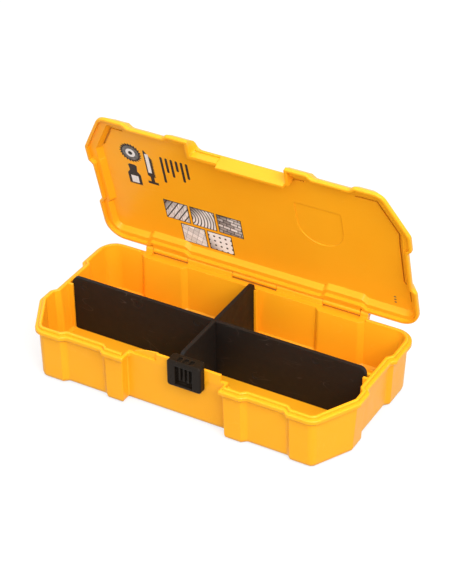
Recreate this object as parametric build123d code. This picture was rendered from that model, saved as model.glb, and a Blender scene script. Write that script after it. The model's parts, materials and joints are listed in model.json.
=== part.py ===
from build123d import *
import math
import os

# Storage case for saw blades: a moulded tub with a hinged lid, a sliding front
# latch and two interlocking dividers.  Millimetres.
# Origin: centre of the tub's footprint, on the underside.  X runs along the
# case, the latch faces -Y, the hinge is at +Y and Z is up.
# The lid stands open at lid_open_angle; everything else is in its place.

# --- overall sizes -----------------------------------------------------------
case_length = 240.0        # over the rim flange, along X
case_width = 117.0         # over the rim flange, along Y
rim_height = 39.3          # underside to the plane where tub and lid meet
lid_height = 9.1           # joint plane to the top of the closed lid
lid_open_angle = 74.2      # how far the lid is open at rest, degrees

# --- outline of the rim, seen from above -------------------------------------
corner_cut_x = 17.0        # chamfered front corners, along X
corner_cut_y = 31.7        # and along Y
front_corner_radius = 9.0
side_corner_radius = 5.0
rear_corner_radius = 14.5
step_depth = 2.9           # how far the panels sit back between the bumpers
step_run = 3.2             # length of the slope into such a panel
panel_near = 0.4533        # front and rear panels: their near and far edge from
panel_far = 0.6717         # the middle, as shares of half the length
side_panel_front = 47.5    # side panels: front edge, from the front face
side_panel_length = 33.0
step_radius = 3.0
rim_edge = 0.5             # upper edges of the rim, the lip and the lid are eased
latch_bay_half = 35.3      # half width of the bay for the latch
latch_bay_depth = 9.0      # front face of the rim to the bay's wall
bay_radius = 1.0
bay_sweep = 2.0            # the bay's corners get rounder as the lid's sides turn out

# --- tub ---------------------------------------------------------------------
wall = 2.2
draft = 0.8                # the walls lean in by this much towards the floor
end_draft = 2.0            # the two short sides lean in more
bay_draft = 1.6            # and so does the wall of the latch bay
flange_overhang = 2.5      # the rim stands out this far over the walls
flange_height = 2.6        # outer edge of the rim, above its sloped underside
bay_side_overhang = 1.8    # the same at the two sides of the latch bay
bay_side_rim = 1.9         # the rim there is only this wide
bottom_radius = 3.6        # rounding of the lower edge
floor_top = 4.2            # top of the floor over the underside
floor_thickness = 2.2
floor_chamfer = 2.0        # slope between the walls and the floor
pocket_margin = 12.0       # underside pockets: distance from the walls
pocket_rib = 14.0          # width of the webs between the pockets
rim_lip_height = 1.8       # lip that the lid closes over
bay_wall = 2.6             # wall behind the latch
bay_rise = 5.2             # how far that wall stands over the joint plane
bay_rise_wall = 2.0
bay_left = -15.0           # left of this only a thin lip rises
bay_right = 32.3           # right end of the raised wall
bay_lip_wall = 1.1
bay_lip_curve = ((0.0, 0.05), (0.12, 0.34), (0.26, 0.54), (0.52, 0.79), (0.76, 0.93), (1.0, 1.0))
guide_reach = 2.0          # ribs that hold the cross divider overlap its ends
end_guide_reach = 0.9      # and those that hold the long divider
guide_gap = 0.25           # between a rib and the divider's face
guide_width = 1.8
guide_rise = 1.4           # their top lies this far over the joint plane

# --- dividers ----------------------------------------------------------------
divider_thickness = 2.6
divider_corner = 4.5       # radius of the upper corners
rear_end_gap = 1.4         # cross divider to the rear wall
slot_clearance = 0.15      # each side, where the two dividers cross
divider_end_gap = 0.4
divider_top_gap = 0.3      # under the closed lid
front_end_gap = 3.7        # cross divider to the bay's wall, clear of the latch
ejector_radius = 2.4       # round marks on the long divider's front
ejector_depth = 0.2
ejector_pitch = 44.0

# --- hinge -------------------------------------------------------------------
hinge_shift = -3.2         # the hinge sits this far left of the middle
hinge_back = 2.8           # axis behind the rim's rear edge
hinge_up = 1.85            # axis over the joint plane
knuckle_radius = 2.5
pin_radius = 1.1
pin_clearance = 0.06
middle_knuckle = 33.8      # lid knuckle in the middle
tub_knuckle = 34.8
outer_knuckle = 27.5
ear_length = 5.5
knuckle_gap = 0.3
knuckle_web = 4.6          # depth of the web under or over a knuckle
shelf_gap = 0.6            # under the lid's knuckles, down to the tub's ledge
shelf_thickness = 2.4

# --- lid ---------------------------------------------------------------------
lid_wall = 2.0
lid_gap = 0.15             # joint plane to the lid's lower edge
lid_skirt = 2.5            # height of the upright edge
bevel_in = 5.4             # outer bevel above it
bevel_up = 5.5
top_round = 2.2
bevel_corner = 3.4         # the bevel goes further in at the chamfered corners
shelf_up = 2.9             # ledge over the tub's lip
shelf_in = 7.2             # inner edge of that ledge, from the outer edge
shelf_back = 5.2           # and at the rear and the rear bumpers
ceiling_in = 10.0          # edge of the flat inside of the top
ceiling_back = 7.0
tray_step = 0.3            # what the ledge keeps of the steps between the bumpers
seam_front = 13.4          # channel in the flat inside: from the lid's front edge,
seam_right = 12.3          # from its right and
seam_left = 9.6            # left chamfered corner
seam_end = 10.5            # and from its right end
seam_width = 1.1
seam_depth = 1.1
bay_flare = 1.8            # the bumpers' sides at the bay turn outwards higher up
tongue_drop = 2.5          # front wall reaches this far below the joint plane
tongue_gap = 1.1           # behind the bay's wall
catch_thickness = 1.1      # ledge that the latch holds down
catch_gap = 0.35
catch_back = 0.5           # behind the thin lip
catch_reach = 1.7          # the ledge stands out this far from the tongue's face
panel_recess = 0.5         # D-shaped panel on the inside
d_panel_x = 51.2
d_panel_y = -5.0
d_panel_radius = 16.8
d_panel_straight = 17.5

# --- latch -------------------------------------------------------------------
latch_x = 8.3              # middle of the latch, unlocked
latch_width = 25.0
latch_front = 5.2          # how far it stands out of the bay's wall
latch_below = 11.1         # lower edge under the joint plane
latch_cap = 1.9            # thickness of the part that covers the catch
latch_reach = 1.5          # past the inner face of the bay's wall
latch_travel = 18.0
slide_clearance = 0.15
grip_width = 12.8
grip_height = 14.2
grip_depth = 2.6
grip_drop = 3.4            # top of the latch to the top of the grip
rib_count = 3
rib_foot = 3.4             # the ribs end this far over the grip's lower edge
rib_width = 1.3
pad_width = 2.9            # finger pads on top
pad_length = 4.6
pad_pitch = 4.4
foot_width = 5.0           # neck that runs in the slot
foot_height = 3.0
foot_inset = 0.6           # from the latch's right edge
foot_up = 2.0              # from the latch's lower edge
head_margin = 1.4          # the head is larger than the neck by this much
head_thickness = 1.4

half_l = case_length / 2
half_w = case_width / 2
hinge_y = half_w + hinge_back
hinge_z = rim_height + hinge_up
bay_face = -half_w + latch_bay_depth
bay_inner = bay_face + bay_wall
rise_inner = bay_face + bay_rise_wall
lid_top = rim_height + lid_height
lip_top = rim_height + rim_lip_height
ceiling = lid_top - lid_wall
tongue_face = bay_inner + tongue_gap


def corners(depth, flare):
    """Corners of the rim as (x, y, radius, side that follows), anticlockwise
    from the latch bay.  depth is how far the panels sit back, flare turns the
    bay's two sides."""
    a = panel_near * half_l
    b = panel_far * half_l
    f = -half_w
    s = f + side_panel_front
    e = s + side_panel_length
    h = hinge_shift
    r = step_radius
    right = [
        (latch_bay_half - flare, bay_face, bay_radius + flare * bay_sweep, "cheek"),
        (latch_bay_half + flare, f, bay_radius, "front"),
        (a - step_run, f, r, "front_step"),
        (a, f + depth, r, "front_panel"),
        (b, f + depth, r, "front_step"),
        (b + step_run, f, r, "front"),
        (half_l - corner_cut_x, f, front_corner_radius, "corner"),
        (half_l, f + corner_cut_y, side_corner_radius, "end"),
        (half_l, s - step_run, r, "end_step"),
        (half_l - depth, s, r, "end_panel"),
        (half_l - depth, e, r, "end_step"),
        (half_l, e + step_run, r, "end_back"),
        (half_l, half_w, rear_corner_radius, "rear"),
    ]
    rear = [
        (h + b + step_run, half_w, r, "rear_step"),
        (h + b, half_w - depth, r, "rear"),
        (h + a, half_w - depth, r, "rear_step"),
        (h + a - step_run, half_w, r, "rear"),
        (h - a + step_run, half_w, r, "rear_step"),
        (h - a, half_w - depth, r, "rear"),
        (h - b, half_w - depth, r, "rear_step"),
        (h - b - step_run, half_w, r, "rear"),
    ]
    sides = [c[3] for c in reversed(right)][1:] + ["bay"]
    left = [(-c[0], c[1], c[2], side) for c, side in zip(reversed(right), sides)]
    return right + rear + left


def shifted(points, insets):
    """Move every side of the polygon inwards by its own distance."""
    n = len(points)
    lines = []
    for i in range(n):
        x0, y0 = points[i][:2]
        x1, y1 = points[(i + 1) % n][:2]
        size = math.hypot(x1 - x0, y1 - y0)
        ux = (x1 - x0) / size
        uy = (y1 - y0) / size
        lines.append((x0 - uy * insets[i], y0 + ux * insets[i], ux, uy))
    moved = []
    for i in range(n):
        ax, ay, ux, uy = lines[i - 1]
        bx, by, vx, vy = lines[i]
        cross = ux * vy - uy * vx
        t = ((bx - ax) * vy - (by - ay) * vx) / cross
        moved.append((ax + ux * t, ay + uy * t))
    return moved


def outline(z, inset, flare=0.0, straight=False, **own):
    """Rounded outline at height z, inside the rim by inset.  own gives the
    sides whose names start with that word their own distance.  With straight,
    the steps between the bumpers keep their place along the side."""
    pts = corners(step_depth, flare)
    n = len(pts)
    slant = step_run / math.hypot(step_run, step_depth)
    insets = []
    for corner in pts:
        side = corner[3]
        word = max((w for w in own if side.startswith(w)), key=len, default=None)
        distance = inset if word is None else own[word]
        stays = straight and side.endswith("_step")
        insets.append(distance * slant if stays else distance)
    moved = shifted(pts, insets)
    edges = []
    ends = []
    for i in range(n):
        p = moved[i - 1]
        q = moved[i]
        s = moved[(i + 1) % n]
        l1 = math.hypot(q[0] - p[0], q[1] - p[1])
        l2 = math.hypot(s[0] - q[0], s[1] - q[1])
        u = ((q[0] - p[0]) / l1, (q[1] - p[1]) / l1)
        v = ((s[0] - q[0]) / l2, (s[1] - q[1]) / l2)
        turn = math.atan2(u[0] * v[1] - u[1] * v[0], u[0] * v[0] + u[1] * v[1])
        r = pts[i][2]
        if turn > 0:
            r = max(r - inset, 0.4)
        r = min(r, 0.45 * min(l1, l2) / math.tan(abs(turn) / 2))
        t = r * math.tan(abs(turn) / 2)
        start = (q[0] - u[0] * t, q[1] - u[1] * t)
        end = (q[0] + v[0] * t, q[1] + v[1] * t)
        bx = v[0] - u[0]
        by = v[1] - u[1]
        size = math.hypot(bx, by)
        reach = r / math.cos(turn / 2) - r
        mid = (q[0] + bx / size * reach, q[1] + by / size * reach)
        ends.append((start, mid, end))
    for i in range(n):
        start, mid, end = ends[i]
        edges.append(ThreePointArc((*start, z), (*mid, z), (*end, z)))
        nxt = ends[(i + 1) % n][0]
        edges.append(Line((*end, z), (*nxt, z)))
    return Face(Wire(edges))


def skin(sections):
    """Solid through a stack of outlines with straight walls between them."""
    return loft(sections, ruled=True)


def block(x0, x1, y0, y1, z0, z1):
    """Box between two corners."""
    size = (x1 - x0, y1 - y0, z1 - z0)
    return Pos((x0 + x1) / 2, (y0 + y1) / 2, (z0 + z1) / 2) * Box(*size)


def bar_x(points, x0, x1):
    """Prism along X from (y, z) points."""
    face = make_face(Polyline([(0, y, z) for y, z in points], close=True))
    return Pos(x0, 0, 0) * extrude(face, amount=x1 - x0, dir=(1, 0, 0))


def rod_x(radius, x0, x1):
    """Round bar along X on the hinge axis."""
    mid = Location(((x0 + x1) / 2, hinge_y, hinge_z), (0, 90, 0))
    return mid * Cylinder(radius, x1 - x0)


def knuckle_spans():
    """X spans of the knuckles: (lid knuckles, tub knuckles and ears)."""
    h = hinge_shift
    g = knuckle_gap
    m = middle_knuckle / 2
    t = m + g + tub_knuckle
    o = t + g + outer_knuckle
    e = o + g + ear_length
    lid = [(h - m, h + m), (h - o, h - t - g), (h + t + g, h + o)]
    tub = [(h - t, h - m - g), (h + m + g, h + t), (h - e, h - o - g), (h + o + g, h + e)]
    return lid, tub


def lean(z):
    """Share of the draft that the walls have at height z."""
    return 1 - z / rim_height


def tub_wall(z, inside, bay_inside, cheek=None):
    """Outline of the tub's walls at height z, moved inwards."""
    k = lean(z)
    return outline(
        z, flange_overhang + draft * k + inside,
        end=flange_overhang + end_draft * k + inside,
        bay=bay_draft * k + bay_inside,
        cheek=bay_side_overhang + draft * k + inside if cheek is None else cheek,
    )


def tub_outside():
    """Solid tub with its rim flange and the lip that the lid closes over."""
    r = bottom_radius
    stack = []
    for deg in (0, 30, 60, 90):
        a = math.radians(deg)
        back = r * (1 - math.sin(a))
        stack.append(tub_wall(r * (1 - math.cos(a)), back, back))
    stack.append(tub_wall(rim_height, 0.0, 0.0))
    under = rim_height - flange_height
    flange = skin([
        tub_wall(under - flange_overhang, 0.0, 0.0),
        outline(under, 0.0),
        outline(rim_height - rim_edge, 0.0),
        outline(rim_height, rim_edge, bay=0.0),
    ])
    lip = skin([
        tub_wall(rim_height - rim_edge * 2, 0.0, 0.0),
        outline(lip_top - rim_edge, flange_overhang, bay=0.0),
        outline(lip_top, flange_overhang + rim_edge, bay=0.0),
    ])
    top = lip_top + 1.0
    bay = latch_bay_half + lid_wall + 0.4
    lip -= block(-bay, bay, -half_w, bay_inner, rim_height, top)
    x0, x1 = hinge_span()
    y0 = half_w - step_depth - flange_overhang - wall - rim_edge
    lip -= block(x0 - 1.0, x1 + 1.0, y0, half_w + 1.0, rim_height, top)
    return skin(stack) + flange + lip


def tub_cavity():
    under = rim_height - flange_height - bay_side_overhang
    over = under + bay_side_overhang
    deep = wall + floor_chamfer
    return skin([
        tub_wall(floor_top, deep, bay_wall + floor_chamfer),
        tub_wall(floor_top + floor_chamfer, wall, bay_wall),
        tub_wall(under, wall, bay_wall),
        tub_wall(over, wall, bay_wall, bay_side_rim),
        tub_wall(lip_top - rim_edge, wall, bay_wall, bay_side_rim),
        tub_wall(lip_top + 1.0, wall - 1.0 - rim_edge, bay_wall, bay_side_rim),
    ])


def bay_features():
    """Raised wall of the latch bay: thick on the right, and on the left a thin
    lip that rises towards it."""
    reach = latch_bay_half - bay_flare - 0.3
    root = rim_height - 1.0
    top = rim_height + bay_rise
    right = block(bay_left, bay_right, bay_face, rise_inner, root, top)
    length = reach + bay_left
    line = [(x * length - reach, z * bay_rise + rim_height) for x, z in bay_lip_curve]
    line += [(bay_left + 0.5, top), (bay_left + 0.5, root), (-reach, root)]
    shape = make_face(Polyline([(x, bay_inner, z) for x, z in line], close=True))
    return right + extrude(shape, amount=bay_lip_wall, dir=(0, -1, 0))


def guides():
    """Pairs of ribs on the four walls that hold the ends of the dividers."""
    half = divider_thickness / 2 + guide_gap
    out = 8.0
    base = floor_top - 0.5
    top = rim_height + guide_rise
    side = long_end() - end_guide_reach
    rear = cross_rear() - guide_reach
    front = bay_inner + front_end_gap + guide_reach
    low_top = rim_height - latch_below - 0.6
    made = []
    for s in (-1, 1):
        lo = min(s * half, s * (half + guide_width))
        hi = lo + guide_width
        made.append(block(side, side + out, lo, hi, base, top))
        made.append(block(-side - out, -side, lo, hi, base, top))
        made.append(block(lo, hi, rear, rear + out, base, top))
        made.append(block(lo, hi, front - out, front, base, low_top))
    return Part() + made


def pockets():
    """Four shallow pockets in the underside, one under each compartment."""
    depth = floor_top - floor_thickness
    x0 = pocket_rib / 2
    x1 = half_l - corner_cut_x - pocket_margin
    y0 = pocket_rib / 2
    y1 = half_w - latch_bay_depth - pocket_margin
    made = []
    for sx in (-1, 1):
        for sy in (-1, 1):
            at = Pos(sx * (x0 + x1) / 2, sy * (y0 + y1) / 2, 0)
            made.append(at * extrude(RectangleRounded(x1 - x0, y1 - y0, 6), depth))
    return made


def latch_slot():
    """Slot in the bay's wall for the neck of the latch, over its travel."""
    c = slide_clearance
    z0 = rim_height - latch_below + foot_up
    right = latch_x + latch_width / 2 - foot_inset
    left = right - foot_width - latch_travel
    return block(left - c, right + c, bay_face - 1, bay_inner + 1, z0 - c, z0 + foot_height + c)


def hinge_span():
    spans = knuckle_spans()[1]
    return min(s[0] for s in spans), max(s[1] for s in spans)


def rear_face(x):
    """Rear edge of the rim at x: the panels sit back."""
    inside = panel_near < abs(x - hinge_shift) / half_l < panel_far
    return half_w - step_depth if inside else half_w


def tub_knuckles():
    """Knuckles and ears of the tub on webs, and the ledge under the hinge."""
    low = rim_height - flange_height - knuckle_web / 2
    front = half_w - flange_overhang - wall / 2
    made = []
    for x0, x1 in knuckle_spans()[1]:
        web = [
            (front, rim_height),
            (front, low),
            (half_w + 0.6, low),
            (hinge_y + knuckle_radius * 0.92, hinge_z - knuckle_radius * 0.4),
            (hinge_y, hinge_z),
            (hinge_y - knuckle_radius * 0.9, hinge_z + knuckle_radius * 0.3),
            (half_w + shelf_gap / 2, rim_height),
        ]
        made.append(bar_x(web, x0, x1) + rod_x(knuckle_radius, x0, x1))
    x0, x1 = hinge_span()
    top = hinge_z - knuckle_radius - shelf_gap
    ledge = [
        (front, top),
        (front, top - shelf_thickness - 2.0),
        (half_w + 0.6, top - shelf_thickness),
        (hinge_y + 0.8, top - shelf_thickness * 0.5),
        (hinge_y + 0.8, top),
    ]
    made.append(bar_x(ledge, x0, x1))
    return made


def base_tub():
    outside = tub_outside()
    tub = outside - tub_cavity() + (outside & guides())
    tub += bay_features()
    tub -= pockets()
    tub -= latch_slot()
    for x0, x1 in knuckle_spans()[0]:
        top = rim_height + 1.0
        low = hinge_z - knuckle_radius - shelf_gap
        y0 = hinge_y - knuckle_radius - shelf_gap
        g = knuckle_gap
        tub -= block(x0 - g, x1 + g, y0, half_w + 1.0, low, top)
    tub += tub_knuckles()
    low, high = hinge_span()
    tub -= rod_x(pin_radius + pin_clearance / 2, low + 1.5, high + 1)
    return tub


def tray_edge(z, inset, back):
    """Inside of the lid at height z: nearly straight along the front and the
    two ends, further out at the rear."""
    panel = inset - step_depth + tray_step
    rim = {"bay": tongue_face - bay_face + lid_wall, "cheek": lid_wall}
    return outline(
        z, inset, straight=True, front_panel=panel, end_panel=panel,
        end_back=back, rear=back, **rim
    )


def lid_body():
    """Closed position: skirt, bevel and top, hollow inside."""
    step = tongue_face - bay_face
    z0 = rim_height + lid_gap
    z1 = rim_height + lid_skirt
    z2 = z1 + bevel_up
    over = bevel_in + top_round
    outer = skin([
        outline(z0, rim_edge, bay=step, cheek=0.0, rear=0.0),
        outline(z0 + rim_edge, 0.0, bay=step),
        outline(z1, 0.0, bay=step),
        outline(
            z2, bevel_in, flare=bay_flare, straight=True,
            bay=step, cheek=0.0, rear=0.0, corner=bevel_in + bevel_corner,
        ),
        outline(
            lid_top, over, flare=bay_flare, straight=True,
            bay=step + rim_edge, cheek=rim_edge, rear=rim_edge * 2, corner=over + bevel_corner,
        ),
    ])
    shelf = rim_height + shelf_up
    groove = skin([
        outline(z0 - 1, lid_wall, bay=step + lid_wall),
        outline(shelf, lid_wall, bay=step + lid_wall),
    ])
    hollow = skin([
        tray_edge(z0 - 1, shelf_in, shelf_back),
        tray_edge(shelf, shelf_in, shelf_back),
        tray_edge(ceiling, ceiling_in, ceiling_back),
    ])
    return outer - groove - hollow - seam()


def seam_edge(z, corner, more):
    """Edge of the channel in the flat inside, moved inwards by more."""
    step = step_depth - tray_step
    return outline(
        z, seam_front + more, straight=True, front_panel=seam_front - step + more,
        corner=corner + more, end=seam_end + more, end_panel=seam_end - step + more,
        end_back=ceiling_back + more, rear=ceiling_back + more,
        bay=tongue_face - bay_face + lid_wall + more, cheek=lid_wall + more,
    )


def seam_ring(corner):
    low = ceiling - 1
    top = ceiling + seam_depth
    ring = skin([seam_edge(low, corner, 0.0), seam_edge(top, corner, 0.0)])
    return ring - skin([seam_edge(low, corner, seam_width), seam_edge(top, corner, seam_width)])


def seam():
    """Narrow channel in the flat inside: at the front corners, down the right end
    and on both sides of the latch bay."""
    a = panel_near * half_l
    b = panel_far * half_l
    mid = (latch_bay_half + a) / 2
    front = -half_w
    back = front + side_panel_front + side_panel_length
    side = half_l - seam_end - seam_width * 2
    right = seam_ring(seam_right)
    left = seam_ring(seam_left)
    kept = [
        (right, b, half_l, front, back),
        (right, side, half_l, back - 1, half_w - corner_cut_y / 2),
        (right, latch_bay_half, mid, front, bay_inner + lid_wall * 2),
        (right, -a, -mid, front, bay_face),
        (left, -half_l, -b - step_run * 3, front, front + corner_cut_y),
    ]
    made = [ring & block(*span, ceiling - 1, ceiling + 2) for ring, *span in kept]
    return Part() + made


def d_panel():
    """Shallow D-shaped recess in the inside of the top."""
    r = d_panel_radius
    y1 = d_panel_y - d_panel_straight
    flat = Pos(d_panel_x, (d_panel_y + y1) / 2) * Rectangle(2 * r, d_panel_straight)
    shape = flat + Pos(d_panel_x, d_panel_y) * Circle(r)
    return Pos(0, 0, ceiling) * extrude(shape, panel_recess)


def catch():
    """Front of the lid in the latch bay: a tongue behind the tub's raised wall,
    and left of it a shorter wall with a ledge for the latch."""
    reach = latch_bay_half - 0.8
    back = tongue_face + lid_wall
    low = rim_height - tongue_drop
    tongue = block(bay_left + 0.4, reach, tongue_face, back, low, rim_height + 3)
    face = bay_inner + catch_back
    root = tongue_face + 0.5
    z0 = rim_height + lid_gap + 0.1
    z1 = catch_top()
    end = bay_left - 0.4
    plate = block(-reach, end, face, root, z0, z1)
    ledge = block(-reach, end, tongue_face - catch_reach, root, z1 - catch_thickness, z1)
    return tongue + plate + ledge


def catch_top():
    return rim_height + bay_rise + catch_gap + catch_thickness


def lid_knuckles():
    """Knuckles of the lid, each on an arm from the rear wall."""
    made = []
    low = rim_height + lid_gap + 0.4
    for x0, x1 in knuckle_spans()[0]:
        front = rear_face((x0 + x1) / 2) - 1.0
        arm = [
            (front, low),
            (hinge_y - knuckle_radius * 0.8, low),
            (hinge_y, hinge_z),
            (hinge_y + knuckle_radius * 0.3, hinge_z + knuckle_radius * 0.9),
            (half_w, hinge_z + knuckle_web),
            (front, hinge_z + knuckle_web),
        ]
        made.append(bar_x(arm, x0, x1) + rod_x(knuckle_radius, x0, x1))
    return made


def closed_lid():
    lid = lid_body() + catch() - d_panel()
    lid += lid_knuckles()
    low, high = hinge_span()
    return lid - rod_x(pin_radius + pin_clearance, low, high)


def lid():
    """The lid turned about the hinge axis to its open rest position."""
    swing = Location((0, hinge_y, hinge_z), (-lid_open_angle, 0, 0))
    return swing * Location((0, -hinge_y, -hinge_z)) * closed_lid()


def hinge_pin():
    low, high = hinge_span()
    return rod_x(pin_radius, low + 1.6, high - 0.2)


def divider_blank(end0, end1, along_x):
    """Upright plate with rounded upper corners; end0 and end1 are its ends."""
    z0 = floor_top + 0.1
    z1 = ceiling - divider_top_gap
    shape = Rectangle(end1 - end0, z1 - z0)
    shape = fillet(shape.vertices().sort_by(Axis.Y)[-2:], divider_corner)
    shape = chamfer(shape.vertices().sort_by(Axis.Y)[:2], floor_chamfer)
    side = Plane.XZ if along_x else Plane.YZ
    mid = (end0 + end1) / 2
    place = Pos(mid, 0, (z0 + z1) / 2) if along_x else Pos(0, mid, (z0 + z1) / 2)
    plate = extrude(side * shape, divider_thickness / 2, both=True)
    return place * plate


def lap(z0, z1):
    """Cut where the other divider passes."""
    half = divider_thickness / 2 + slot_clearance
    return block(-half, half, -half, half, z0, z1)


def long_end():
    """Half length of the long divider."""
    wall_in = flange_overhang + end_draft * lean(floor_top) + wall
    return half_l - step_depth - wall_in - divider_end_gap


def cross_rear():
    """Rear end of the cross divider."""
    wall_in = flange_overhang + draft * lean(floor_top) + wall
    return half_w - wall_in - rear_end_gap


def ejector_marks():
    """Shallow round marks on the front of the long divider, high and low in turn."""
    face = -divider_thickness / 2
    high = ceiling - ejector_radius * 2.4
    low = floor_top + ejector_radius * 3.5
    made = []
    for i in (-2, -1, 0, 1, 2):
        x = ejector_pitch * (i - 0.3)
        turned = Location((x, face, low if i == 1 else high), (90, 0, 0))
        made.append(turned * Cylinder(ejector_radius, ejector_depth * 2))
    return made


def long_divider():
    middle = (floor_top + ceiling) / 2
    divider = divider_blank(-long_end(), long_end(), True) - lap(middle, ceiling + 1)
    return divider - ejector_marks()


def cross_divider():
    front = bay_inner + front_end_gap
    middle = (floor_top + ceiling) / 2 + 0.2
    return divider_blank(front, cross_rear(), False) - lap(floor_top - 1, middle)


def latch_top():
    return catch_top() + slide_clearance + latch_cap


def latch_grip():
    """Window in the front with upright ribs and a sloped sill."""
    top = latch_top() - grip_drop
    low = top - grip_height
    face = bay_face - latch_front
    deep = face + grip_depth
    x0 = latch_x - grip_width / 2
    x1 = latch_x + grip_width / 2
    window = block(x0, x1, face - 1, deep, low, top)
    pitch = grip_width / (rib_count + 1)
    for i in range(rib_count):
        x = x0 + pitch * (i + 1)
        foot = low + rib_foot
        window -= block(x - rib_width / 2, x + rib_width / 2, face + 0.7, deep + 1, foot, top + 1)
    return window


def latch_pads():
    """Row of shallow pockets on top of the latch."""
    top = latch_top()
    face = bay_face - latch_front
    made = []
    for i in range(rib_count):
        x = latch_x + pad_pitch * (i - (rib_count - 1) / 2) - pad_width / 2
        made.append(block(x, x + pad_width, face + 1.5, face + 1.5 + pad_length, top - 1.0, top + 1))
    return made


def slide_latch():
    top = latch_top()
    low = rim_height - latch_below
    face = bay_face - latch_front
    back = bay_face - slide_clearance
    plate = RectangleRounded(latch_width, top - low, 2.2)
    body = extrude(Plane.XZ * plate, (back - face) / 2, both=True)
    body = Pos(latch_x, (face + back) / 2, (top + low) / 2) * body
    body = chamfer(body.faces().sort_by(Axis.Y)[0].edges(), 0.8)
    x0 = latch_x - latch_width / 2
    x1 = latch_x + latch_width / 2
    cap = block(x0 + 0.9, x1 - 0.9, back - 1, rise_inner + latch_reach, top - latch_cap, top)
    cap = chamfer(cap.edges().filter_by(Axis.Z).sort_by(Axis.Y)[-2:], 1.2)
    right = x1 - foot_inset
    z0 = low + foot_up
    m = head_margin
    inner = bay_inner + bay_draft * lean(z0 - m) + slide_clearance
    neck = block(right - foot_width, right, back - 1, inner + 0.5, z0, z0 + foot_height)
    head = block(
        right - foot_width - m, right, inner, inner + head_thickness,
        z0 - m, z0 + foot_height + m,
    )
    return body + cap + neck + head - latch_grip() - latch_pads()


parts = {
    "base_tub": base_tub,
    "lid": lid,
    "hinge_pin": hinge_pin,
    "slide_latch": slide_latch,
    "long_divider": long_divider,
    "cross_divider": cross_divider,
}

os.makedirs("parts", exist_ok=True)
for name, make in parts.items():
    export_step(make(), "parts/" + name + ".step")
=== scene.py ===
import json
import math

import bpy
import numpy as np
from mathutils import Matrix


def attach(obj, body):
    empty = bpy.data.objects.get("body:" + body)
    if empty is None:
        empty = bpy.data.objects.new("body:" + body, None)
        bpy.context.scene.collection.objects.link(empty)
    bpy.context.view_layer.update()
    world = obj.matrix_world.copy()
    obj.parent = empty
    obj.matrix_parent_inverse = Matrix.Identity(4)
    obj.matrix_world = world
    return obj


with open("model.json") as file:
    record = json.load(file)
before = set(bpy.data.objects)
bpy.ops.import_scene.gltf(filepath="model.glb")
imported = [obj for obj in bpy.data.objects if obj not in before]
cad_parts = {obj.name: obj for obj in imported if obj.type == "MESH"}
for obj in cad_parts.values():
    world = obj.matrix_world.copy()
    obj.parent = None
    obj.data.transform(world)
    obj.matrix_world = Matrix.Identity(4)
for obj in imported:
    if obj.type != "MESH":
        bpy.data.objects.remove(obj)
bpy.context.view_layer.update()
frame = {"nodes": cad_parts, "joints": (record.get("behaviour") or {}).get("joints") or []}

# Looks of a moulded storage case for saw blades: satin yellow tub and lid, dark
# dividers and latch, and small black, grey and white prints inside the lid.
# Metres, in the frame of the CAD model; the prints are laid out in millimetres.

MM = 0.001

# --- lid: its inside top, in the closed position -----------------------------
CEILING = 46.4             # height of the inside top over the underside
HINGE = next(j for j in frame["joints"] if j["name"] == "lid_hinge")
HINGE_Y = HINGE["pos_m"][1] / MM
HINGE_Z = HINGE["pos_m"][2] / MM
LID_OPEN = math.radians(HINGE["range_deg"][1])

# --- prints: places as (right, up) from the middle of the lid, seen from inside
INK = 0.07                 # thickness of a printed film
LAYER = 0.04               # one film lies this far over the one below
DISC_PLACE = (-88.0, 25.5)
DISC_RADIUS = 8.6
DISC_TEETH = 22
DISC_TOOTH = 1.5           # depth of a tooth
DISC_PLATE = 6.3           # radii of the plate, the label and the hole
DISC_LABEL = 3.7
DISC_HOLE = 1.6
STRAIGHT_PLACE = (-74.5, 16.0)
STRAIGHT_LENGTH = 31.0
STRAIGHT_WIDTH = 6.4
STRAIGHT_TEETH = 12
STRAIGHT_LABEL = (2.7, 17.5)
STRAIGHT_LABEL_SHIFT = (-0.8, 3.6)
PLUNGE_PLACE = (-89.0, 5.0)
PLUNGE_WIDTH = 10.0
PLUNGE_HEIGHT = 19.0
PLUNGE_TEETH = 9
PLUNGE_LABEL = (5.6, 6.4)
PLUNGE_LABEL_SHIFT = (0.0, -4.4)
LINES_PLACE = (-64.0, 29.5)                          # upper end of the first line
LINE_LENGTHS = (24.0, 13.5, 16.5, 10.0, 18.5, 14.5)
LINE_PITCH = 3.9
LINE_WIDTH = 1.9
MARK_PLACE = (100.3, -42.2)                          # uppermost dash by the right end
MARK_SIZE = (1.7, 1.0)
MARK_PITCH = 2.6
MARK_COUNT = 3
SWATCH_ROWS = ((-60.5, -20.5, 3), (-50.2, -40.3, 2))  # first place, and how many
SWATCH_PITCH = 20.5
SWATCH_SIZE = (17.7, 16.4)
SWATCH_EDGE = 0.6          # width of the black frame round a swatch

# --- floor and light ---------------------------------------------------------
FLOOR_HALF = 3.0
FLOOR_WHITE = 0.70         # share of plain white in the floor, the rest is lit
FADE_START = 0.6           # further out than this the share rises
FADE_END = 1.2             # and the floor is plain white from here
ROOM_FILL = 0.88           # strength of the even light from all round
LAMPS = {                  # place, side of the square in metres, and watts
    "key": ((0.68, -0.48, 0.80), 0.6, 9.5),
    "top": ((-0.1, 0.0, 1.8), 1.4, 8.5),
    "front": ((0.2, -1.2, 0.7), 1.0, 5.1),
}
LAMP_TARGET = (0.0, 0.0, 0.04)

# --- camera: right of the latch, looking down at the case --------------------
CAMERA_TARGET = (-11.848, 35.683, 43.264)            # millimetres
CAMERA_DISTANCE = 1319.54                            # millimetres
CAMERA_AZIMUTH = 0.52362                             # radians, from the front to the right
CAMERA_ELEVATION = 0.59409
CAMERA_ROLL = -0.01217
CAMERA_FOCUS = 1971.35                               # focal length in pixels
FRAME_HEIGHT = 584                                   # pixels
SENSOR_HEIGHT = 36.0                                 # millimetres


# =============================================================================
# Shader helpers
# =============================================================================

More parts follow.
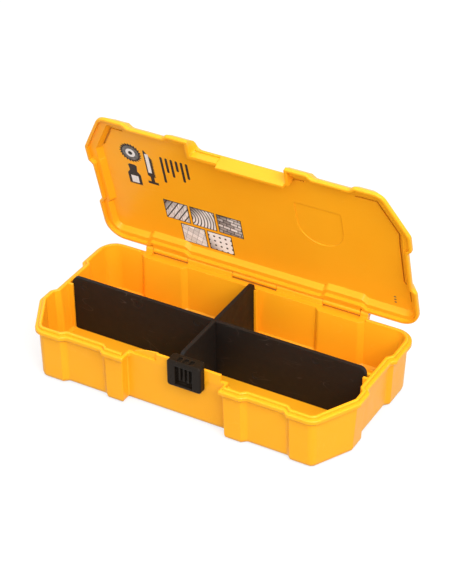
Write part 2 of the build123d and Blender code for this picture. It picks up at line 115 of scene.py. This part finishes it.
class Graph:
    """Node tree of a material or world, with short calls to add and join."""

    def __init__(self, owner):
        owner.use_nodes = True
        self.tree = owner.node_tree
        self.tree.nodes.clear()

    def add(self, kind, inputs=None, **settings):
        """New node.  An input that is a socket is linked, any other is a value."""
        node = self.tree.nodes.new(kind)
        for key, value in settings.items():
            setattr(node, key, value)
        for key, value in (inputs or {}).items():
            if isinstance(value, bpy.types.NodeSocket):
                self.tree.links.new(value, node.inputs[key])
            else:
                node.inputs[key].default_value = value
        return node

    def noise(self, vector, scale, detail=2.0, roughness=0.5):
        values = {"Vector": vector, "Scale": scale, "Detail": detail, "Roughness": roughness}
        return self.add("ShaderNodeTexNoise", values).outputs["Fac"]

    def spread(self, value, low, high, start=0.3, end=0.7):
        """Map start..end of a value to low..high, held at both ends."""
        values = {0: value, 1: start, 2: end, 3: low, 4: high}
        return self.add("ShaderNodeMapRange", values, clamp=True).outputs[0]

    def mix(self, share, first, second):
        """Colour between two: sockets 6 and 7 are the mixer's colours."""
        values = {0: share, 6: first, 7: second}
        return self.add("ShaderNodeMix", values, data_type="RGBA").outputs[2]

    def maths(self, operation, first, second=0.0):
        return self.add("ShaderNodeMath", {0: first, 1: second}, operation=operation).outputs[0]

    def close(self, shader, output="ShaderNodeOutputMaterial"):
        self.add(output, {"Surface": shader})


def rgb(red, green, blue):
    return (red, green, blue, 1.0)


def grey(value):
    return rgb(value, value, value)


# =============================================================================
# Plastic, steel and ink
# =============================================================================

def scratches(g, where, angle, scale, width):
    """Thin lines across a stretched noise: the band where it passes a half."""
    stretch = (scale, scale * 14, scale * 3)
    values = {"Vector": where, "Rotation": (0.3, 0.2, angle), "Scale": stretch}
    turned = g.add("ShaderNodeMapping", values).outputs[0]
    away = g.maths("ABSOLUTE", g.maths("SUBTRACT", g.noise(turned, 1.0, 1.0), 0.5))
    return g.spread(away, 1.0, 0.0, 0.0, width)


def scuffs(g, where, wear):
    """Two sets of scratches that cross, in patches of one or two centimetres."""
    patch = g.spread(g.noise(where, 55.0, 3.0), 0.0, 1.0, 0.52, 0.66)
    first = scratches(g, where, 0.5, 24.0, 0.006)
    second = scratches(g, where, -0.9, 31.0, 0.005)
    lines = g.maths("MAXIMUM", first, second)
    return g.maths("MULTIPLY", g.maths("MULTIPLY", lines, patch), wear)


def moulded_plastic(name, colour, deep, worn, crevice_shade, rough, grain, edge, wear, shine):
    """Moulded plastic.  Colour drifts between colour and deep over centimetres,
    scuffs show the worn one, and gaps under 2 mm get painted shade that darkens
    them towards the painted shade colour.
    The roughness is mottled about rough, a spark-eroded grain of about 0.3 mm
    makes the bump, and edges are rounded by edge in mm."""
    material = bpy.data.materials.new(name)
    g = Graph(material)
    where = g.add("ShaderNodeTexCoord").outputs["Object"]
    drift = g.spread(g.noise(where, 26.0, 2.0), 0.0, 1.0, 0.35, 0.65)
    scuff = scuffs(g, where, wear)
    base = g.mix(scuff, g.mix(drift, colour, deep), worn)
    # Painted shade: ambient occlusion within 2 mm darkens seams, gaps and corners towards the
    # painted shade colour.
    occlusion_for_shade = g.add("ShaderNodeAmbientOcclusion", {"Distance": 2.0 * MM}, samples=6).outputs["AO"]
    base = g.mix(g.spread(occlusion_for_shade, 0.75, 0.0, 0.15, 0.6), base, crevice_shade)

    mottled = g.spread(g.noise(where, 140.0, 4.0, 0.6), rough - 0.05, rough + 0.06)
    roughness = g.maths("ADD", mottled, g.maths("MULTIPLY", scuff, 0.12))

    rounded = g.add("ShaderNodeBevel", {"Radius": edge * MM}, samples=6).outputs[0]
    fine = g.maths("MULTIPLY", g.noise(where, 3200.0, 2.0, 0.6), 0.35)
    waves = g.maths("MULTIPLY", g.noise(where, 90.0, 1.0), 1.6)
    values = {
        "Height": g.maths("ADD", fine, waves), "Strength": grain,
        "Distance": 0.05 * MM, "Normal": rounded,
    }
    bump = g.add("ShaderNodeBump", values).outputs[0]
    values = {
        "Base Color": base, "Roughness": roughness, "Normal": bump,
        "Specular IOR Level": shine,
    }
    g.close(g.add("ShaderNodeBsdfPrincipled", values).outputs[0])
    return material


def drawn_steel(name):
    """Drawn wire: grey steel with fine rings of roughness along its length."""
    material = bpy.data.materials.new(name)
    g = Graph(material)
    where = g.add("ShaderNodeTexCoord").outputs["Object"]
    along = g.add("ShaderNodeMapping", {"Vector": where, "Scale": (900.0, 60.0, 60.0)}).outputs[0]
    rings = g.noise(along, 1.0, 3.0)
    bump = g.add("ShaderNodeBump", {"Height": rings, "Strength": 0.15, "Distance": 0.02 * MM})
    values = {
        "Base Color": g.mix(rings, rgb(0.50, 0.50, 0.51), rgb(0.62, 0.62, 0.63)),
        "Roughness": g.spread(rings, 0.28, 0.42),
        "Normal": bump.outputs[0], "Metallic": 1.0,
    }
    g.close(g.add("ShaderNodeBsdfPrincipled", values).outputs[0])
    return material


def printed(name, pattern):
    """Ink film.  pattern(graph, uv) gives its colour from the piece's UV map, and
    a fine noise lets a little of the yellow through."""
    material = bpy.data.materials.new(name)
    g = Graph(material)
    uv = g.add("ShaderNodeUVMap", uv_map="film").outputs[0]
    where = g.add("ShaderNodeTexCoord").outputs["Object"]
    thin = g.spread(g.noise(where, 1500.0, 2.0), 0.0, 0.05, 0.45, 0.75)
    values = {"Height": g.noise(where, 2600.0), "Strength": 0.2, "Distance": 0.02 * MM}
    bump = g.add("ShaderNodeBump", values).outputs[0]
    values = {
        "Base Color": g.mix(thin, pattern(g, uv), rgb(0.60, 0.34, 0.10)),
        "Roughness": g.spread(g.noise(where, 300.0), 0.42, 0.55),
        "Normal": bump, "Specular IOR Level": 0.2,
    }
    g.close(g.add("ShaderNodeBsdfPrincipled", values).outputs[0])
    return material


# =============================================================================
# Patterns of the prints, on a UV map whose longer side runs from 0 to 1
# =============================================================================

BLACK = rgb(0.014, 0.012, 0.012)
BROWN = rgb(0.10, 0.03, 0.008)
GREY = rgb(0.16, 0.15, 0.145)
PALE = rgb(0.93, 0.90, 0.87)


def plain_black(g, uv):
    """One ink, a little uneven."""
    return g.mix(g.noise(uv, 30.0), BLACK, rgb(0.03, 0.026, 0.024))


def plain_pale(g, uv):
    """White label, a little uneven."""
    return g.mix(g.noise(uv, 6.0), PALE, rgb(0.7, 0.68, 0.66))


def faint_brown(g, uv):
    """Thin ink that the yellow shows through."""
    return g.mix(g.noise(uv, 9.0), BROWN, GREY)


def blade_steel(g, uv):
    """Brushed dark grey with pale streaks."""
    brushed = g.noise(placed(g, uv, (3, 60, 1), 0.2), 1.0, 3.0)
    share = g.spread(brushed, 0.0, 1.0, 0.4, 0.7)
    return g.mix(share, rgb(0.035, 0.032, 0.03), rgb(0.34, 0.33, 0.32))


def placed(g, uv, scale, turn=0.0, shift=(0.0, 0.0, 0.0)):
    """The UV map scaled, turned and shifted."""
    values = {"Vector": uv, "Location": shift, "Rotation": (0, 0, turn), "Scale": scale}
    return g.add("ShaderNodeMapping", values).outputs[0]


def corner_shade(g, uv, tone):
    """Darken a picture towards its upper left corner, by right minus up."""
    place = g.add("ShaderNodeSeparateXYZ", {0: uv}).outputs
    slope = g.maths("SUBTRACT", place[0], place[1])
    return g.mix(g.spread(slope, 0.85, 0.0, -0.85, -0.2), tone, BLACK)


def boards(g, uv):
    """Slanted boards: pale bands with dark joints and a stretched noise as grain."""
    turned = placed(g, uv, (1, 1, 1), 0.6)
    values = {"Vector": turned, "Scale": 1.5, "Distortion": 0.4}
    bands = g.add("ShaderNodeTexWave", values, wave_type="BANDS", bands_direction="X").outputs[1]
    grain = g.noise(placed(g, uv, (30, 3, 1), 0.6), 1.0, 3.0)
    tone = g.mix(g.spread(grain, 0.0, 1.0, 0.35, 0.6), rgb(0.30, 0.28, 0.27), PALE)
    return corner_shade(g, uv, g.mix(g.spread(bands, 1.0, 0.0, 0.04, 0.2), tone, BLACK))


def end_grain(g, uv):
    """Growth rings: a sine of the distance from a point outside one corner."""
    near = placed(g, uv, (1, 1, 1), 0.0, (0.25, -0.35, 0.0))
    values = {"Vector": near, "Scale": 2.4, "Distortion": 1.2, "Detail": 2.0}
    rings = g.add("ShaderNodeTexWave", values, wave_type="RINGS", rings_direction="Z").outputs[1]
    wood = g.mix(g.spread(rings, 0.0, 1.0, 0.08, 0.4), BLACK, PALE)
    dark = g.spread(g.noise(uv, 1.3, 1.0), 0.0, 1.0, 0.36, 0.62)
    return corner_shade(g, uv, g.mix(g.maths("MULTIPLY", dark, 0.3), wood, GREY))


def masonry(g, uv):
    """Courses of bricks, half a brick out of step, in greys."""
    values = {
        "Vector": placed(g, uv, (1, 1, 1), 0.12), "Color1": rgb(0.24, 0.22, 0.21),
        "Color2": PALE, "Mortar": BLACK, "Scale": 1.6, "Mortar Size": 0.025,
    }
    return corner_shade(g, uv, g.add("ShaderNodeTexBrick", values).outputs[0])


def wall_tiles(g, uv):
    """Large slanted tiles with thin joints, each one tone."""
    values = {
        "Vector": placed(g, uv, (1, 1, 1), 0.35), "Color1": rgb(0.66, 0.64, 0.62),
        "Color2": rgb(0.96, 0.94, 0.92), "Mortar": GREY, "Scale": 2.2,
        "Mortar Size": 0.014, "Brick Width": 0.5, "Row Height": 0.5,
    }
    return g.add("ShaderNodeTexBrick", values, offset=0.0).outputs[0]


def sheet_metal(g, uv):
    """Soft diagonal sheen from dark to pale with rows of round holes."""
    slope = g.add("ShaderNodeTexGradient", {"Vector": placed(g, uv, (0.8, 0.8, 1), -0.7)}).outputs[1]
    sheen = g.mix(g.spread(slope, 0.0, 1.0, -0.1, 0.45), rgb(0.07, 0.06, 0.06), PALE)
    values = {
        "Vector": placed(g, uv, (4.0, 4.0, 1), 0.0, (0.0, 0.0, 0.5)),
        "Scale": 1.0, "Randomness": 0.0,
    }
    cells = g.add("ShaderNodeTexVoronoi", values, voronoi_dimensions="2D").outputs["Distance"]
    return g.mix(g.spread(cells, 1.0, 0.0, 0.16, 0.22), sheen, BLACK)


# =============================================================================
# Outlines of the prints, as arrays of (right, up), anticlockwise
# =============================================================================

def rectangle(x, up, width, height):
    """Outline of a rectangle about its middle."""
    corner = np.array([(-1, -1), (1, -1), (1, 1), (-1, 1)]) / 2
    return corner * (width, height) + (x, up)


def bar(x, up, width, height):
    """Outline of a bar with round ends along its longer side: two half circles."""
    r = min(width, height) / 2
    a = np.linspace(-np.pi / 2, np.pi / 2, 7)
    along = max(width, height) / 2 - r
    right = np.column_stack((along + r * np.cos(a), r * np.sin(a)))
    outline = np.vstack((right, -right))
    if height > width:
        outline = np.column_stack((-outline[:, 1], outline[:, 0]))
    return outline + (x, up)


def circle(x, up, radius, n=24):
    """Outline of a circle of n points."""
    a = 2 * np.pi * np.arange(n) / n
    return np.column_stack((x + radius * np.cos(a), up + radius * np.sin(a)))


def toothed_disc(x, up, radius, teeth, depth):
    """Round saw blade: the radius rises over nearly the whole of each tooth's
    angle and drops at once at its end."""
    steps = 4
    rising = 0.98
    t = np.arange(teeth * steps)
    share = (t % steps) / (steps - 1)
    angle = 2 * np.pi * (t // steps + np.minimum(share, rising)) / teeth
    r = radius - depth * (1 - share)
    return np.column_stack((x + r * np.cos(angle), up + r * np.sin(angle)))


def straight_blade(x, up, length, width, teeth):
    """Straight saw blade, upright: a saw-tooth line along its right side, a
    slanted tip, and a narrower shank with a cross piece at the lower end."""
    top = up + length / 2
    low = up - length / 2
    shank = low + length * 0.24
    pitch = (top - shank - width) / teeth
    cross = low + 2.2
    half = width * 0.5
    root = width * 0.3
    point = width * 0.4
    neck = width * 0.22
    arm = width * 0.62
    t = np.arange(teeth * 2)
    saw = np.column_stack((
        x + np.where(t % 2 == 0, half, root),
        shank + pitch * ((t + 1) // 2),
    ))
    tip = [(x + root, top - width), (x - point, top)]
    back = [(x - half, top - 1), (x - half, shank)]
    tang = [
        (x - neck, shank - 1), (x - neck, cross), (x - arm, cross), (x - arm, low),
        (x + arm, low), (x + arm, cross), (x + neck, cross), (x + neck, shank - 1),
    ]
    return np.vstack((saw, tip, back, tang))


def plunge_blade(x, up, width, height, teeth):
    """Plunge-cut blade: a wide toothed lower edge, slanted shoulders and a
    narrow head."""
    low = up - height / 2
    top = up + height / 2
    shoulder = up + 0.5
    collar = up + 3.5
    half = width / 2
    neck = width * 0.28
    head = width * 0.34
    crown = width * 0.2
    t = np.arange(teeth * 2 + 1)
    edge = np.column_stack((
        x - half + width * t / (teeth * 2),
        low + np.where(t % 2 == 0, 0.0, 1.0),
    ))
    sides = [
        (x + half, shoulder), (x + neck, collar), (x + head, top - 1), (x + crown, top),
        (x - crown, top), (x - head, top - 1), (x - neck, collar), (x - half, shoulder),
    ]
    return np.vstack((edge, sides))


# =============================================================================
# Films on the inside of the lid
# =============================================================================

def on_open_lid(points):
    """Points (x, y, z) in mm on the closed lid, turned open about the hinge:
    y and z turn by the opening angle about the hinge axis.  Given in metres."""
    dy = points[:, 1] - HINGE_Y
    dz = points[:, 2] - HINGE_Z
    cosine = math.cos(LID_OPEN)
    sine = math.sin(LID_OPEN)
    turned = np.column_stack((
        points[:, 0],
        HINGE_Y + dy * cosine + dz * sine,
        HINGE_Z - dy * sine + dz * cosine,
    ))
    return turned * MM


def film(name, outlines, material, layer=0):
    """Thin closed plates under the inside top of the lid.  Each outline is an
    (n, 2) array of (right, up) in mm, anticlockwise as seen from inside; right
    is +X and up is -Y.  The rim is the outline at two heights joined by a ring
    of quads, and both ends are closed.  UV: place in the piece's own box."""
    low = CEILING - layer * LAYER
    high = low - INK
    points = []
    faces = []
    first = 0
    for outline in outlines:
        n = len(outline)
        flat = np.column_stack((outline[:, 0], -outline[:, 1]))
        base = np.column_stack((flat, np.full(n, low)))
        face = np.column_stack((flat, np.full(n, high)))
        points += [base, face]
        i = np.arange(n)
        j = (i + 1) % n
        ring = np.column_stack((i, j, j + n, i + n)) + first
        faces += ring.tolist()
        faces.append((i + n + first).tolist())
        faces.append((i[::-1] + first).tolist())
        first += 2 * n
    cloud = np.vstack(points)
    mesh = bpy.data.meshes.new(name)
    mesh.from_pydata(on_open_lid(cloud).tolist(), [], faces)
    lay_uv(mesh, np.column_stack((cloud[:, 0], -cloud[:, 1])))
    mesh.materials.append(material)
    mesh.validate()
    piece = bpy.data.objects.new(name, mesh)
    bpy.context.scene.collection.objects.link(piece)
    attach(piece, "lid")


def lay_uv(mesh, place):
    """UV map of a film: each point's place in the box round all of them, over
    the longer side of that box."""
    start = place.min(axis=0)
    size = np.ptp(place, axis=0).max()
    corners = np.empty(len(mesh.loops), dtype=np.int32)
    mesh.loops.foreach_get("vertex_index", corners)
    uv = ((place - start) / size)[corners]
    mesh.uv_layers.new(name="film").data.foreach_set("uv", uv.astype(np.float32).ravel())


def label(place, shift, size):
    """Rectangle at a shift from the middle of a blade."""
    return rectangle(place[0] + shift[0], place[1] + shift[1], *size)


def print_blades(black):
    """A round, a straight and a plunge-cut blade, each with a pale label."""
    steel = printed("ink_steel", blade_steel)
    pale = printed("ink_pale", plain_pale)
    disc = toothed_disc(*DISC_PLACE, DISC_RADIUS, DISC_TEETH, DISC_TOOTH)
    straight = straight_blade(*STRAIGHT_PLACE, STRAIGHT_LENGTH, STRAIGHT_WIDTH, STRAIGHT_TEETH)
    plunge = plunge_blade(*PLUNGE_PLACE, PLUNGE_WIDTH, PLUNGE_HEIGHT, PLUNGE_TEETH)
    film("print_disc_rim", [disc], black)
    film("print_disc_plate", [circle(*DISC_PLACE, DISC_PLATE, 40)], steel, 2)
    film("print_disc_label", [circle(*DISC_PLACE, DISC_LABEL)], pale, 4)
    film("print_disc_hub", [circle(*DISC_PLACE, DISC_HOLE)], black, 6)
    film("print_blade_edge", [straight], black)
    film("print_blade_face", [label(STRAIGHT_PLACE, STRAIGHT_LABEL_SHIFT, STRAIGHT_LABEL)], pale, 2)
    film("print_plunge_edge", [plunge], black)
    film("print_plunge_face", [label(PLUNGE_PLACE, PLUNGE_LABEL_SHIFT, PLUNGE_LABEL)], pale, 2)


def print_lines(black):
    """Upright bars where words would be, and three dashes by the right end."""
    x, top = LINES_PLACE
    bars = [bar(x + LINE_PITCH * i, top - n / 2, LINE_WIDTH, n) for i, n in enumerate(LINE_LENGTHS)]
    film("print_lines", bars, black)
    x, up = MARK_PLACE
    dashes = [bar(x, up - MARK_PITCH * i, *MARK_SIZE) for i in range(MARK_COUNT)]
    film("print_mark", dashes, printed("ink_faint", faint_brown))


def print_swatches(black):
    """Framed pictures of materials that the blades cut, in two rows."""
    kinds = (boards, end_grain, masonry, wall_tiles, sheet_metal)
    width, height = SWATCH_SIZE
    places = [(x + SWATCH_PITCH * i, up) for x, up, count in SWATCH_ROWS for i in range(count)]
    around = (width + 2 * SWATCH_EDGE, height + 2 * SWATCH_EDGE)
    film("print_frames", [rectangle(x, up, *around) for x, up in places], black)
    for kind, (x, up) in zip(kinds, places):
        ink = printed("ink_" + kind.__name__, kind)
        film("print_" + kind.__name__, [rectangle(x, up, width, height)], ink, 2)


def lid_prints():
    black = printed("ink_black", plain_black)
    print_blades(black)
    print_lines(black)
    print_swatches(black)


# =============================================================================
# Materials of the CAD parts
# =============================================================================

def dress_parts():
    # The colour given for gaps in each call below is painted shade, laid into seams and corners.
    yellow = moulded_plastic(
        "case_yellow", colour=rgb(0.98, 0.425, 0.013), deep=rgb(0.97, 0.405, 0.011),
        worn=rgb(1.0, 0.56, 0.06), crevice_shade=rgb(0.45, 0.15, 0.006),
        rough=0.36, grain=0.4, edge=0.5, wear=0.3, shine=0.25,
    )
    divider = moulded_plastic(
        "divider_black", colour=rgb(0.0072, 0.0054, 0.0044), deep=rgb(0.0052, 0.004, 0.0033),
        worn=rgb(0.09, 0.075, 0.06), crevice_shade=rgb(0.008, 0.006, 0.004),
        rough=0.6, grain=0.7, edge=0.45, wear=0.6, shine=0.28,
    )
    latch = moulded_plastic(
        "latch_black", colour=rgb(0.017, 0.011, 0.007), deep=rgb(0.012, 0.008, 0.005),
        worn=rgb(0.09, 0.075, 0.06), crevice_shade=rgb(0.006, 0.004, 0.002),
        rough=0.3, grain=0.5, edge=0.7, wear=0.4, shine=0.1,
    )
    finishes = {
        "base_tub": yellow, "lid": yellow, "long_divider": divider, "cross_divider": divider,
        "slide_latch": latch, "hinge_pin": drawn_steel("pin_steel"),
    }
    for node, finish in finishes.items():
        slots = frame["nodes"][node].data.materials
        slots.clear()
        slots.append(finish)


# =============================================================================
# Floor, light and camera
# =============================================================================

def seen(g):
    """1 for rays from the camera and for mirrored and refracted ones."""
    ray = g.add("ShaderNodeLightPath").outputs
    plain = g.maths("MAXIMUM", ray["Is Camera Ray"], ray["Is Glossy Ray"])
    return g.maths("MAXIMUM", plain, ray["Is Transmission Ray"])


def white_floor():
    """Looks white and keeps a faint shadow, and is a plain grey to the light that
    it sends back up.  It fades to plain white away from the case."""
    material = bpy.data.materials.new("floor_white")
    g = Graph(material)
    dull = g.add("ShaderNodeBsdfDiffuse", {"Color": grey(0.2)}).outputs[0]
    lit = g.add("ShaderNodeBsdfDiffuse", {"Color": grey(0.92)}).outputs[0]
    white = g.add("ShaderNodeEmission", {"Color": grey(1.0), "Strength": 1.0}).outputs[0]
    where = g.add("ShaderNodeTexCoord").outputs["Object"]
    away = g.add("ShaderNodeVectorMath", {0: where}, operation="LENGTH").outputs["Value"]
    share = g.spread(away, FLOOR_WHITE, 1.0, FADE_START, FADE_END)
    pale = g.add("ShaderNodeMixShader", {0: share, 1: lit, 2: white}).outputs[0]
    g.close(g.add("ShaderNodeMixShader", {0: seen(g), 1: dull, 2: pale}).outputs[0])
    return material


def lay_floor():
    """Square plate at height 0."""
    corners = [(-1, -1, 0), (1, -1, 0), (1, 1, 0), (-1, 1, 0)]
    mesh = bpy.data.meshes.new("floor")
    mesh.from_pydata([tuple(FLOOR_HALF * c for c in p) for p in corners], [], [(0, 1, 2, 3)])
    mesh.materials.append(white_floor())
    floor = bpy.data.objects.new("floor", mesh)
    bpy.context.scene.collection.objects.link(floor)


def light_room():
    """Even light from all round, seen as plain white, and the lamps."""
    world = bpy.data.worlds.new("room")
    bpy.context.scene.world = world
    g = Graph(world)
    fill = g.add("ShaderNodeBackground", {"Color": grey(1.0), "Strength": ROOM_FILL}).outputs[0]
    white = g.add("ShaderNodeBackground", {"Color": grey(1.0), "Strength": 1.0}).outputs[0]
    mixed = g.add("ShaderNodeMixShader", {0: seen(g), 1: fill, 2: white}).outputs[0]
    g.close(mixed, "ShaderNodeOutputWorld")
    for name, (place, side, watts) in LAMPS.items():
        softbox(name, place, side, watts)


def softbox(name, place, side, watts):
    """Square area light turned to the middle of the case."""
    light = bpy.data.lights.new(name, "AREA")
    light.energy = watts
    light.shape = "SQUARE"
    light.size = side
    lamp = bpy.data.objects.new(name, light)
    bpy.context.scene.collection.objects.link(lamp)
    lamp.matrix_world = looking(np.array(place), np.array(LAMP_TARGET), 0.0)


def looking(place, target, roll):
    """Matrix of an object at place whose -Z points at target, rolled about it."""
    back = (place - target) / np.linalg.norm(place - target)
    side = np.cross((0.0, 0.0, 1.0), back)
    side /= np.linalg.norm(side)
    rise = np.cross(back, side)
    cosine = math.cos(roll)
    sine = math.sin(roll)
    matrix = np.eye(4)
    matrix[:3, 0] = cosine * side + sine * rise
    matrix[:3, 1] = cosine * rise - sine * side
    matrix[:3, 2] = back
    matrix[:3, 3] = place
    return Matrix(matrix.tolist())


def set_camera():
    """Camera on a sphere about its target, by azimuth and elevation."""
    target = np.array(CAMERA_TARGET) * MM
    back = np.array((
        math.sin(CAMERA_AZIMUTH) * math.cos(CAMERA_ELEVATION),
        -math.cos(CAMERA_AZIMUTH) * math.cos(CAMERA_ELEVATION),
        math.sin(CAMERA_ELEVATION),
    ))
    data = bpy.data.cameras.new("camera")
    data.sensor_fit = "VERTICAL"
    data.sensor_height = SENSOR_HEIGHT
    data.lens = CAMERA_FOCUS / FRAME_HEIGHT * SENSOR_HEIGHT
    data.clip_start = 0.01
    data.clip_end = 50.0
    camera = bpy.data.objects.new("camera", data)
    bpy.context.scene.collection.objects.link(camera)
    camera.matrix_world = looking(target + back * CAMERA_DISTANCE * MM, target, CAMERA_ROLL)
    bpy.context.scene.camera = camera


set_camera()
lay_floor()
light_room()
dress_parts()
lid_prints()
bpy.context.scene.view_settings.view_transform = "Standard"
